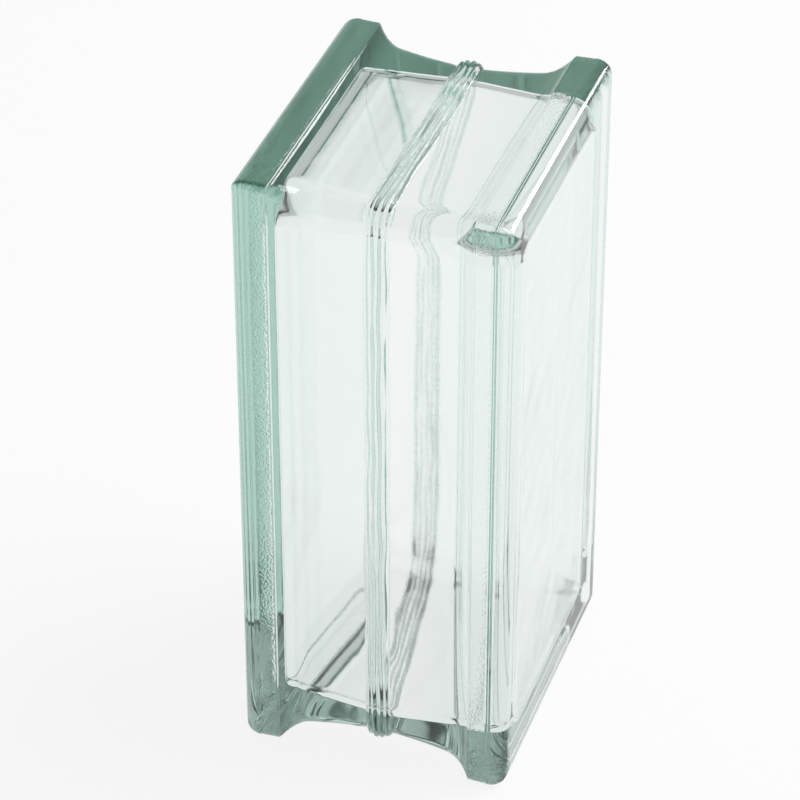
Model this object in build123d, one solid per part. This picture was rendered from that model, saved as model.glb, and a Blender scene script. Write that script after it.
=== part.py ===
"""Half glass block: a hollow, sealed building block of clear pressed glass, standing on its short end."""
import os
from math import atan2, hypot, radians, sin, sqrt, tan

from build123d import *

# Overall size in mm: X is the wall thickness, Y the short side, Z the long side
THICKNESS = 80.0
DEPTH = 94.0
HEIGHT = 190.0

# Face plates: a big flat face, a rounded edge and a narrow flat rim that meets the joint
EDGE_ROUND = 5.4
RIM_WIDTH = 5.6
RIM_CORNER = 2.5
RIM_LIP = 0.8

# Mortar groove: the wall set back between the two rims, running into them through a wide cove
GROOVE_DEPTH = 5.6
WALL_DRAFT = 5.0
WALL_CORNER = 5.0
COVE_WIDTH = 8.5
FLANK_SHARE = 0.3

# Welded seam round the middle of the wall: a rounded bead with a shallow dip along its crest
BEAD_WIDTH = 7.6
BEAD_HEIGHT = 2.5
DIP_WIDTH = 2.2
DIP_DEPTH = 0.9

# Sealed cavity
WALL_AT_SEAM = 3.9
FACE_GLASS = 7.2
CAVITY_DRAFT = 5.5
CAVITY_CORNER = 6.0
CAVITY_ROUND = 2.5

# Positions across the thickness, measured from the seam plane
face_x = THICKNESS / 2
rim_x = face_x - EDGE_ROUND - RIM_WIDTH
cavity_x = face_x - FACE_GLASS

# Cove: an arc that climbs from the wall over COVE_WIDTH, its last share a straight flank up to the lip
cove_depth = GROOVE_DEPTH - (rim_x - COVE_WIDTH) * tan(radians(WALL_DRAFT))
cove_turn = 2 * (atan2(cove_depth, COVE_WIDTH) - radians(WALL_DRAFT))
cove_radius = (1 - FLANK_SHARE) * hypot(COVE_WIDTH, cove_depth) / (2 * sin(cove_turn / 2))
flank_depth = GROOVE_DEPTH + 2.0
flank_x = rim_x - flank_depth / tan(radians(WALL_DRAFT) + cove_turn)


def outline(x, inset, corner):
    """Rounded rectangle of the block's long view at position x, set in from the full outline."""
    return Plane.YZ.offset(x) * RectangleRounded(DEPTH - 2 * inset, HEIGHT - 2 * inset, corner)


# One moulded half: face plate with its rounded edge, sloping flank and drafted wall
plate = extrude(outline(rim_x, 0, RIM_CORNER), amount=face_x - rim_x)
plate = fillet(plate.faces().sort_by(Axis.X)[-1].edges(), EDGE_ROUND)
flank = loft([outline(flank_x, flank_depth, WALL_CORNER), outline(rim_x, 0, RIM_CORNER)], ruled=True)
wall = extrude(outline(0, GROOVE_DEPTH, WALL_CORNER), amount=rim_x, taper=-WALL_DRAFT)
half = plate + flank + wall

# Wide cove at the foot of the flank, small lip where the flank meets the rim
foot = [e for e in half.edges() if all(flank_x + 0.05 < v.X < rim_x - 0.05 for v in e.vertices())]
half = fillet(foot, cove_radius)
lip = [e for e in half.edges() if all(abs(v.X - rim_x) < 0.01 for v in e.vertices())]
half = fillet(lip, RIM_LIP)

# Cavity pressed into that half
cavity = extrude(
    outline(0, GROOVE_DEPTH + WALL_AT_SEAM, CAVITY_CORNER), amount=cavity_x, taper=CAVITY_DRAFT
)
cavity = fillet(cavity.faces().sort_by(Axis.X)[-1].edges(), CAVITY_ROUND)

# Seam bead: its section is drawn on both sides of the wall's surface, so that half of it is sunk in
bead_radius = (BEAD_WIDTH**2 / 4 + BEAD_HEIGHT**2) / (2 * BEAD_HEIGHT)
dip_edge = BEAD_HEIGHT - bead_radius + sqrt(bead_radius**2 - DIP_WIDTH**2 / 4)
quarter = Curve() + [
    RadiusArc((BEAD_WIDTH / 2, 0), (DIP_WIDTH / 2, dip_edge), -bead_radius),
    Line((DIP_WIDTH / 2, dip_edge), (0, BEAD_HEIGHT - DIP_DEPTH)),
]
crest = quarter + mirror(quarter, Plane.YZ)
bead_path = outline(0, GROOVE_DEPTH, WALL_CORNER).face().outer_wire()
bead_plane = Plane(bead_path @ 0, x_dir=(1, 0, 0), z_dir=bead_path % 0)
bead = sweep(bead_plane * make_face(crest + mirror(crest, Plane.XZ)), path=bead_path)

# The two halves fused into one hollow piece, stood on the floor
body = half + half.mirror(Plane.YZ) + bead
body = body - (cavity + cavity.mirror(Plane.YZ))
glass_block = Pos(0, 0, HEIGHT / 2) * body

os.makedirs("parts", exist_ok=True)
export_step(glass_block, "parts/glass_block.step")
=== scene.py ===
"""Half glass block on a white studio floor: clear pressed glass, green where it is thick."""
import math

import bpy
from mathutils import Matrix, Vector, noise


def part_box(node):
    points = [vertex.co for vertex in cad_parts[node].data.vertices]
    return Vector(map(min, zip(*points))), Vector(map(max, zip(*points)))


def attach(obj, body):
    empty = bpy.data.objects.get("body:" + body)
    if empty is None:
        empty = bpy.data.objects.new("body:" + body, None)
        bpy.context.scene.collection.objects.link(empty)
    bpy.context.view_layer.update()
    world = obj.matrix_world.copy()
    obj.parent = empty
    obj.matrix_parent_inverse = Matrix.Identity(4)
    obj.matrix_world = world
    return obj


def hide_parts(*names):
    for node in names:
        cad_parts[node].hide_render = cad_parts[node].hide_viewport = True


MM = 0.001
QUARTER = math.pi / 2

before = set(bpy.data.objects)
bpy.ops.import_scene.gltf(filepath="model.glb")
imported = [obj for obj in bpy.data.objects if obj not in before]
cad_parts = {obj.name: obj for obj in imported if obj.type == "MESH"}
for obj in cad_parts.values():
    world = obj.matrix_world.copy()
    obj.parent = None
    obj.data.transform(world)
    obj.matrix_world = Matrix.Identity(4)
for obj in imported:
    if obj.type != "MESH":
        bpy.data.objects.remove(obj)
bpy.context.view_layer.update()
block_low, block_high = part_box("glass_block")

# Overall size in mm, from the frame
THICKNESS = (block_high[0] - block_low[0]) / MM
DEPTH = (block_high[1] - block_low[1]) / MM
HEIGHT = (block_high[2] - block_low[2]) / MM

# Face plates in mm: a rounded edge and a flat rim that falls a little towards its lip
EDGE_ROUND = 5.4
RIM_WIDTH = 5.6
RIM_CORNER = 2.5
RIM_LIP = 0.8
RIM_FALL = 0.2

# Parting line in mm: a fine ridge where the rim meets the rounded edge, and a finer groove past it
PARTING_WIDTH = 0.45
PARTING_SINK = 0.1
PARTING_SHOULDER = 0.02
PARTING_GROOVE_AT = 0.2
PARTING_GROOVE_DEPTH = 0.06

# The rounded edge's arc begins this angle past the parting line, in radians
EDGE_START = 0.06

# Mortar groove in mm
GROOVE_DEPTH = 5.6
WALL_DRAFT = math.radians(5)
WALL_CORNER = 5.0
COVE_WIDTH = 8.5
FLANK_SHARE = 0.05

# Corner radii in mm: how far the wall's may grow, and where they turn into the rim's
CORNER_GROWTH = 1.5
BLEND_ABOVE_WALL = 1.0
BLEND_BELOW_RIM = 0.5
EDGE_CORNER_LEAST = 0.3
FACE_CORNER_LEAST = 0.2

# Welded seam in mm: a bead parted into strands by narrow valleys, each with its place and depth
BEAD_WIDTH = 7.6
BEAD_HEIGHT = 2.5
STRAND_LINES = ((0.0, 1.5), (1.75, 1.3), (3.3, 0.5))
STRAND_WIDTH = 0.55

# Share of the valleys that is filled on the back and the underside
STRAND_FILL = 0.6

# Unevenness of the seam in mm: how far it wanders and swells, how long its waves are, where they fade
SEAM_WOBBLE = 0.5
SEAM_SWELL = 0.25
SEAM_WAVE = 18.0
SEAM_FADE = 3.0

# Share of the wander that the strands have in common, and the pace and spread of their own
COMMON_SHARE = 0.7
STRAND_RATE = 1.4
STRAND_SPREAD = 1.7
STRAND_SEED = 5
SWELL_RATE = 1.3
SWELL_SPREAD = 2.5

# Sealed cavity in mm
WALL_AT_SEAM = 3.9
FACE_GLASS = 7.2
CAVITY_DRAFT = math.radians(5.5)
CAVITY_CORNER = 6.0
CAVITY_ROUND = 1.3

# Unevenness of the pressed surfaces: height and length of the waves in mm
OUTSIDE_WAVES = ((0.015, 16.0),)
CAVITY_WAVES = ((0.12, 24.0), (0.03, 8.0))

# Mesh fineness round the block: points round a corner and along the long and short sides
CORNER_STEPS = 10
LONG_STEPS = 84
SHORT_STEPS = 36

# Mesh fineness along the section, and the half width of the slit that closes a flat face
BEAD_STEPS = 30
WALL_STEPS = 10
COVE_STEPS = 12
LIP_STEPS = 6
RIM_STEPS = 4
EDGE_STEPS = 12
CAVITY_WALL_STEPS = 18
CAVITY_ROUND_STEPS = 7
FACE_STEPS = 16
FACE_SLIT = 0.3

# Glass: absorption per metre and surface finish
IOR = 1.52
TINT = (0.175, 0.55, 0.425)
TINT_DENSITY = 9.6
INSIDE_ROUGHNESS = 0.08
INSIDE_GRAIN = 0.03
RIM_GRAIN = 0.6
GRAIN_SCALE = 1300.0
GRAIN_HEIGHT = 0.0002

# Floor in metres, a hair under the block; FLOOR_GLOW is the share of it that is seen as plain white
FLOOR_HALF = 6.0
FLOOR_DROP = 0.0002
FLOOR_COLOUR = (0.93, 0.93, 0.93)
FLOOR_ROUGHNESS = 0.9
FLOOR_GLOW = 0.88

# World: strength on the camera's side and behind the block, and the directions in Y between them
WORLD_FRONT = 0.03
WORLD_BACK = 0.6
WORLD_RISE = (-0.1, 0.7)

# Lamps in metres and watts, placed from the point they aim at
SOFTBOX_SIZE = (1.2, 1.2)
SOFTBOX_POWER = 24.0
SOFTBOX_PLACE = (0.85, 0.5, 1.4)
STREAK_SIZE = (0.4, 0.3)
STREAK_POWER = 4.0
STREAK_PLACE = (0.81, 1.155, 0.51)

# Camera: angles in degrees, distances, focal length and sensor in mm
CAMERA_AZIMUTH = 18.7
CAMERA_ELEVATION = 35.45
CAMERA_DISTANCE = 1061.0
CAMERA_RIGHT = -7.0
CAMERA_UP = 1.46
CAMERA_LENS = 168.25
CAMERA_SENSOR = 36.0

# Light has to pass many glass surfaces
GLASS_BOUNCES = 48
GLOSSY_BOUNCES = 16

# Positions across the thickness in mm, measured from the seam plane
FACE_X = THICKNESS / 2
PARTING_X = FACE_X - EDGE_ROUND
RIM_X = PARTING_X - RIM_WIDTH


def arc(centre, radius, start, end, steps):
    """Points of a circular arc in the section plane, angles in radians from +X."""
    turn = [start + (end - start) * i / steps for i in range(steps + 1)]
    return [(centre[0] + radius * math.cos(a), centre[1] + radius * math.sin(a)) for a in turn]


def line(start, end, steps):
    """Points of a straight run, without its first point."""
    part = [i / steps for i in range(1, steps + 1)]
    return [(start[0] + (end[0] - start[0]) * t, start[1] + (end[1] - start[1]) * t) for t in part]


def face_rows(x, inset, corner):
    """Rows that fill a flat face from its border to its middle line."""
    middle = DEPTH / 2 - FACE_SLIT
    rows = []
    for i in range(1, FACE_STEPS + 1):
        row_inset = inset + (middle - inset) * i / FACE_STEPS
        rows.append((x, row_inset, max(corner - (row_inset - inset), FACE_CORNER_LEAST)))
    return rows


def wall_inset(x):
    """Depth of the drafted wall under the outline at x."""
    return GROOVE_DEPTH - abs(x) * math.tan(WALL_DRAFT)


def strand_depth(x):
    """Depth at x of the narrow valleys that part the seam bead into strands."""
    return sum(depth * math.exp(-(((abs(x) - place) / STRAND_WIDTH) ** 2)) for place, depth in STRAND_LINES)


def bead_rise(x):
    """Height of the seam bead above the wall at x."""
    radius = (BEAD_WIDTH**2 / 4 + BEAD_HEIGHT**2) / (2 * BEAD_HEIGHT)
    crown = BEAD_HEIGHT - radius + math.sqrt(max(radius**2 - x**2, 0))
    return max(crown - strand_depth(x), 0)


def outside_points():
    """Half section (x, inset) from the seam plane to the face, inset counted inwards from the outline."""
    cove_depth = wall_inset(RIM_X - COVE_WIDTH)
    cove_turn = 2 * (math.atan2(cove_depth, COVE_WIDTH) - WALL_DRAFT)
    cove_radius = (1 - FLANK_SHARE) * math.hypot(COVE_WIDTH, cove_depth) / (2 * math.sin(cove_turn / 2))
    flank = WALL_DRAFT + cove_turn
    foot_x = (RIM_X * math.tan(flank) - GROOVE_DEPTH) / (math.tan(flank) - math.tan(WALL_DRAFT))
    cove_x = foot_x - cove_radius * math.tan(cove_turn / 2) * math.cos(WALL_DRAFT)
    cove_start = (cove_x, wall_inset(cove_x))
    cove_centre = (
        cove_start[0] - cove_radius * math.sin(WALL_DRAFT),
        cove_start[1] - cove_radius * math.cos(WALL_DRAFT),
    )
    lip_centre = (RIM_X + RIM_LIP * math.tan(flank / 2), RIM_LIP + RIM_FALL)
    bead_x = [BEAD_WIDTH / 2 * i / BEAD_STEPS for i in range(BEAD_STEPS + 1)]
    points = [(x, wall_inset(x) - bead_rise(x)) for x in bead_x]
    points += line(points[-1], cove_start, WALL_STEPS)
    points += arc(cove_centre, cove_radius, QUARTER - WALL_DRAFT, QUARTER - flank, COVE_STEPS)[1:]
    points += arc(lip_centre, RIM_LIP, -QUARTER - flank, -QUARTER, LIP_STEPS)
    points += line(points[-1], (PARTING_X - PARTING_WIDTH, PARTING_SINK), RIM_STEPS)
    points += [(PARTING_X - PARTING_WIDTH / 3, PARTING_SHOULDER), (PARTING_X, 0.0)]
    points += [(PARTING_X + PARTING_GROOVE_AT, PARTING_GROOVE_DEPTH)]
    points += arc((PARTING_X, EDGE_ROUND), EDGE_ROUND, -QUARTER + EDGE_START, 0, EDGE_STEPS)
    return points


def outside_corner(x, inset):
    """Corner radius of the outside at a point of its section."""
    if x < BEAD_WIDTH / 2:
        return WALL_CORNER + bead_rise(x)
    if x >= PARTING_X:
        return max(RIM_CORNER - inset, EDGE_CORNER_LEAST)
    climb = GROOVE_DEPTH - BLEND_ABOVE_WALL - inset
    share = min(max(climb / (GROOVE_DEPTH - BLEND_ABOVE_WALL - BLEND_BELOW_RIM), 0), 1)
    wall_corner = WALL_CORNER + min(GROOVE_DEPTH - inset, CORNER_GROWTH)
    return wall_corner + (RIM_CORNER - wall_corner) * share


def outside_section():
    """Rows (x, inset, corner) of the outside from the seam plane to the middle of the face."""
    rows = [(x, inset, outside_corner(x, inset)) for x, inset in outside_points()]
    return rows + face_rows(*rows[-1])


def cavity_section():
    """Rows (x, inset, corner) of the cavity from the seam plane to the middle of its flat end."""
    end_x = FACE_X - FACE_GLASS
    base = GROOVE_DEPTH + WALL_AT_SEAM
    round_x = end_x - CAVITY_ROUND * (1 - math.sin(CAVITY_DRAFT))
    round_inset = base + round_x * math.tan(CAVITY_DRAFT)
    centre = (end_x - CAVITY_ROUND, round_inset + CAVITY_ROUND * math.cos(CAVITY_DRAFT))
    points = [(0, base)] + line((0, base), (round_x, round_inset), CAVITY_WALL_STEPS)
    points += arc(centre, CAVITY_ROUND, -QUARTER + CAVITY_DRAFT, 0, CAVITY_ROUND_STEPS)[1:]
    rows = [(x, inset, CAVITY_CORNER) for x, inset in points]
    return rows + face_rows(*rows[-1])


def ring(inset, corner):
    """Rounded rectangle, counter-clockwise seen from +X: points (y, z) with their outward normals."""
    half_y = DEPTH / 2 - inset - corner
    half_z = HEIGHT / 2 - inset - corner
    points = []
    for side_y, side_z, start in ((1, -1, -90), (1, 1, 0), (-1, 1, 90), (-1, -1, 180)):
        for i in range(CORNER_STEPS + 1):
            a = math.radians(start + 90 * i / CORNER_STEPS)
            normal = (math.cos(a), math.sin(a))
            y = side_y * half_y + corner * normal[0]
            z = side_z * half_z + corner * normal[1]
            points.append((y, z, *normal))
        first = points[-1]
        upright = abs(first[2]) > abs(first[3])
        steps = LONG_STEPS if upright else SHORT_STEPS
        second = (first[0], -first[1]) if upright else (-first[0], first[1])
        for i in range(1, steps):
            t = i / steps
            y = first[0] * (1 - t) + second[0] * t
            z = first[1] * (1 - t) + second[1] * t
            points.append((y, z, *first[2:]))
    return points


def wave_height(point, waves):
    """Height of the surface's waves at a point."""
    return sum(height * noise.noise(point / length) for height, length in waves)


def seam_shift(x, y, z):
    """Sideways wander and swelling of the seam at a point of its bead."""
    hold = max(0, 1 - (2 * x / (BEAD_WIDTH + SEAM_FADE)) ** 2)
    along = Vector((y, z, 0)) / SEAM_WAVE
    own = noise.noise(along * STRAND_RATE + Vector((0, 0, STRAND_SEED + x / STRAND_SPREAD)))
    wander = COMMON_SHARE * noise.noise(along) + own
    ridge = noise.noise(along * SWELL_RATE + Vector((0, 0, x / SWELL_SPREAD)))
    return hold * SEAM_WOBBLE * wander, hold * SEAM_SWELL * ridge


def shell(section, waves, has_seam):
    """Vertices and faces of a closed shell from a half section and its mirror image."""
    rows = [(-x, inset, corner) for x, inset, corner in reversed(section[1:])] + section
    verts = []
    for i, (x, inset, corner) in enumerate(rows):
        before, after = rows[max(i - 1, 0)], rows[min(i + 1, len(rows) - 1)]
        lean = Vector((after[1] - before[1], after[0] - before[0])).normalized()
        for y, z, normal_y, normal_z in ring(inset, corner):
            out = wave_height(Vector((x, y, z)), waves)
            side = 0.0
            if has_seam:
                side, swell = seam_shift(x, y, z)
                # The strands are shallower on the back and the underside
                smooth = STRAND_FILL * max(normal_y, -normal_z, 0) if abs(x) < BEAD_WIDTH / 2 else 0
                out = swell + smooth * strand_depth(x) - abs(out)
            verts.append((
                x + side + out * lean[0],
                y + out * lean[1] * normal_y,
                z + out * lean[1] * normal_z,
            ))
    count = len(verts) // len(rows)
    faces = []
    for i in range(len(rows) - 1):
        for j in range(count):
            k = (j + 1) % count
            faces.append((i * count + j, i * count + k, (i + 1) * count + k, (i + 1) * count + j))
    faces.append(tuple(reversed(range(count))))
    faces.append(tuple(range((len(rows) - 1) * count, len(rows) * count)))
    return verts, faces


def glass_body():
    """The moulded outside and the cavity as one closed mesh, marked inside and outside."""
    outer_verts, outer_faces = shell(outside_section(), OUTSIDE_WAVES, True)
    inner_verts, inner_faces = shell(cavity_section(), CAVITY_WAVES, False)
    first = len(outer_verts)
    faces = outer_faces + [tuple(first + i for i in reversed(face)) for face in inner_faces]
    mesh = bpy.data.meshes.new("block_glass")
    verts = [(x * MM, y * MM, (z + HEIGHT / 2) * MM) for x, y, z in outer_verts + inner_verts]
    mesh.from_pydata(verts, [], faces)
    mesh.shade_smooth()
    inside = mesh.attributes.new("inside", "FLOAT", "POINT")
    inside.data.foreach_set("value", [0.0] * first + [1.0] * len(inner_verts))
    grain = mesh.attributes.new("grain", "FLOAT", "POINT")
    rim_grain = [RIM_GRAIN if RIM_X < abs(v[0]) < PARTING_X - PARTING_WIDTH else 0.0 for v in outer_verts]
    grain.data.foreach_set("value", rim_grain + [INSIDE_GRAIN] * len(inner_verts))
    return mesh


def put(node, **values):
    """Set a node's input sockets, with underscores standing for spaces."""
    for name, value in values.items():
        node.inputs[name.replace("_", " ")].default_value = value


def glass_material():
    """Clear glass, green where light goes far through it, a little rough inside and grained on the rims."""
    mat = bpy.data.materials.new("clear_glass")
    mat.use_nodes = True
    nodes, links = mat.node_tree.nodes, mat.node_tree.links
    glass = nodes["Principled BSDF"]
    put(glass, Base_Color=(1, 1, 1, 1), Roughness=0.0, IOR=IOR, Transmission_Weight=1.0)
    tint = nodes.new("ShaderNodeVolumeAbsorption")
    put(tint, Color=(*TINT, 1), Density=TINT_DENSITY)
    links.new(tint.outputs[0], nodes["Material Output"].inputs["Volume"])

    inside = nodes.new("ShaderNodeAttribute")
    inside.attribute_name = "inside"
    rough = nodes.new("ShaderNodeMapRange")
    put(rough, To_Min=0.0, To_Max=INSIDE_ROUGHNESS)
    links.new(inside.outputs["Fac"], rough.inputs["Value"])
    links.new(rough.outputs[0], glass.inputs["Roughness"])

    place = nodes.new("ShaderNodeTexCoord")
    ripple = nodes.new("ShaderNodeTexNoise")
    put(ripple, Scale=GRAIN_SCALE, Detail=1.0, Roughness=0.5)
    links.new(place.outputs["Object"], ripple.inputs["Vector"])
    grain = nodes.new("ShaderNodeAttribute")
    grain.attribute_name = "grain"
    bump = nodes.new("ShaderNodeBump")
    put(bump, Distance=GRAIN_HEIGHT)
    links.new(grain.outputs["Fac"], bump.inputs["Strength"])
    links.new(ripple.outputs["Fac"], bump.inputs["Height"])
    links.new(bump.outputs[0], glass.inputs["Normal"])
    return mat


def floor_material():
    """White that is seen evenly, also in reflections and through glass, and still takes the shadow."""
    mat = bpy.data.materials.new("floor_white")
    mat.use_nodes = True
    nodes, links = mat.node_tree.nodes, mat.node_tree.links
    paint = nodes["Principled BSDF"]
    put(paint, Base_Color=(*FLOOR_COLOUR, 1), Roughness=FLOOR_ROUGHNESS, Specular_IOR_Level=0.0)
    path = nodes.new("ShaderNodeLightPath")
    seen = path.outputs["Is Camera Ray"]
    for ray in ("Is Glossy Ray", "Is Transmission Ray"):
        either = nodes.new("ShaderNodeMath")
        either.operation = "MAXIMUM"
        links.new(seen, either.inputs[0])
        links.new(path.outputs[ray], either.inputs[1])
        seen = either.outputs[0]
    share = nodes.new("ShaderNodeMath")
    share.operation = "MULTIPLY"
    share.inputs[1].default_value = FLOOR_GLOW
    links.new(seen, share.inputs[0])
    glow = nodes.new("ShaderNodeEmission")
    mix = nodes.new("ShaderNodeMixShader")
    links.new(share.outputs[0], mix.inputs["Fac"])
    links.new(paint.outputs[0], mix.inputs[1])
    links.new(glow.outputs[0], mix.inputs[2])
    links.new(mix.outputs[0], nodes["Material Output"].inputs["Surface"])
    return mat


def studio_world():
    """White surroundings, brighter behind the block than on the camera's side."""
    world = bpy.data.worlds.new("studio")
    world.use_nodes = True
    nodes, links = world.node_tree.nodes, world.node_tree.links
    place = nodes.new("ShaderNodeTexCoord")
    split = nodes.new("ShaderNodeSeparateXYZ")
    links.new(place.outputs["Generated"], split.inputs[0])
    level = nodes.new("ShaderNodeMapRange")
    level.interpolation_type = "SMOOTHSTEP"
    put(level, From_Min=WORLD_RISE[0], From_Max=WORLD_RISE[1], To_Min=WORLD_FRONT, To_Max=WORLD_BACK)
    links.new(split.outputs["Y"], level.inputs["Value"])
    put(nodes["Background"], Color=(1, 1, 1, 1))
    links.new(level.outputs[0], nodes["Background"].inputs["Strength"])
    return world


def area_lamp(name, aim, place, size, power):
    """Area lamp turned to its aim; the glass mirrors it but doesn't show it through."""
    data = bpy.data.lights.new(name, "AREA")
    data.shape = "RECTANGLE"
    data.size, data.size_y = size
    data.energy = power
    lamp = bpy.data.objects.new(name, data)
    lamp.location = aim + Vector(place)
    lamp.rotation_euler = (aim - lamp.location).to_track_quat("-Z", "Y").to_euler()
    lamp.visible_transmission = False
    return lamp


def photo_camera():
    """Camera at the photo's angle, set off from the block's middle along its own right and up."""
    azimuth, elevation = math.radians(CAMERA_AZIMUTH), math.radians(CAMERA_ELEVATION)
    forward = Vector((
        -math.sin(azimuth) * math.cos(elevation),
        math.cos(azimuth) * math.cos(elevation),
        -math.sin(elevation),
    ))
    right = Vector((math.cos(azimuth), math.sin(azimuth), 0))
    up = right.cross(forward)
    centre = Vector((0, 0, HEIGHT / 2))
    spot = centre - forward * CAMERA_DISTANCE + right * CAMERA_RIGHT + up * CAMERA_UP
    data = bpy.data.cameras.new("camera")
    data.lens = CAMERA_LENS
    data.sensor_width = CAMERA_SENSOR
    camera = bpy.data.objects.new("camera", data)
    camera.matrix_world = Matrix((
        (right.x, up.x, -forward.x, spot.x * MM),
        (right.y, up.y, -forward.y, spot.y * MM),
        (right.z, up.z, -forward.z, spot.z * MM),
        (0, 0, 0, 1),
    ))
    return camera


scene = bpy.context.scene

# Block
block_mesh = glass_body()
block_mesh.materials.append(glass_material())
block = bpy.data.objects.new("block_glass", block_mesh)
scene.collection.objects.link(block)
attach(block, "root")
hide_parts("glass_block")

# Floor
floor_mesh = bpy.data.meshes.new("floor")
corners = [(FLOOR_HALF * x, FLOOR_HALF * y, 0) for x, y in ((-1, -1), (1, -1), (1, 1), (-1, 1))]
floor_mesh.from_pydata(corners, [], [(0, 1, 2, 3)])
floor_mesh.materials.append(floor_material())
floor = bpy.data.objects.new("floor", floor_mesh)
floor.location.z = -FLOOR_DROP
scene.collection.objects.link(floor)

# Light: a softbox overhead on the right, and a small panel low behind for streaks on the upper rims
scene.world = studio_world()
block_middle = Vector((0, 0, HEIGHT / 2 * MM))
block_top = Vector((0, 0, HEIGHT * MM))
softbox = area_lamp("softbox", block_middle, SOFTBOX_PLACE, SOFTBOX_SIZE, SOFTBOX_POWER)
scene.collection.objects.link(softbox)
streak_panel = area_lamp("streak_panel", block_top, STREAK_PLACE, STREAK_SIZE, STREAK_POWER)
scene.collection.objects.link(streak_panel)

# Camera and picture
camera = photo_camera()
scene.collection.objects.link(camera)
scene.camera = camera
scene.view_settings.view_transform = "Standard"
scene.cycles.max_bounces = GLASS_BOUNCES
scene.cycles.transmission_bounces = GLASS_BOUNCES
scene.cycles.glossy_bounces = GLOSSY_BOUNCES
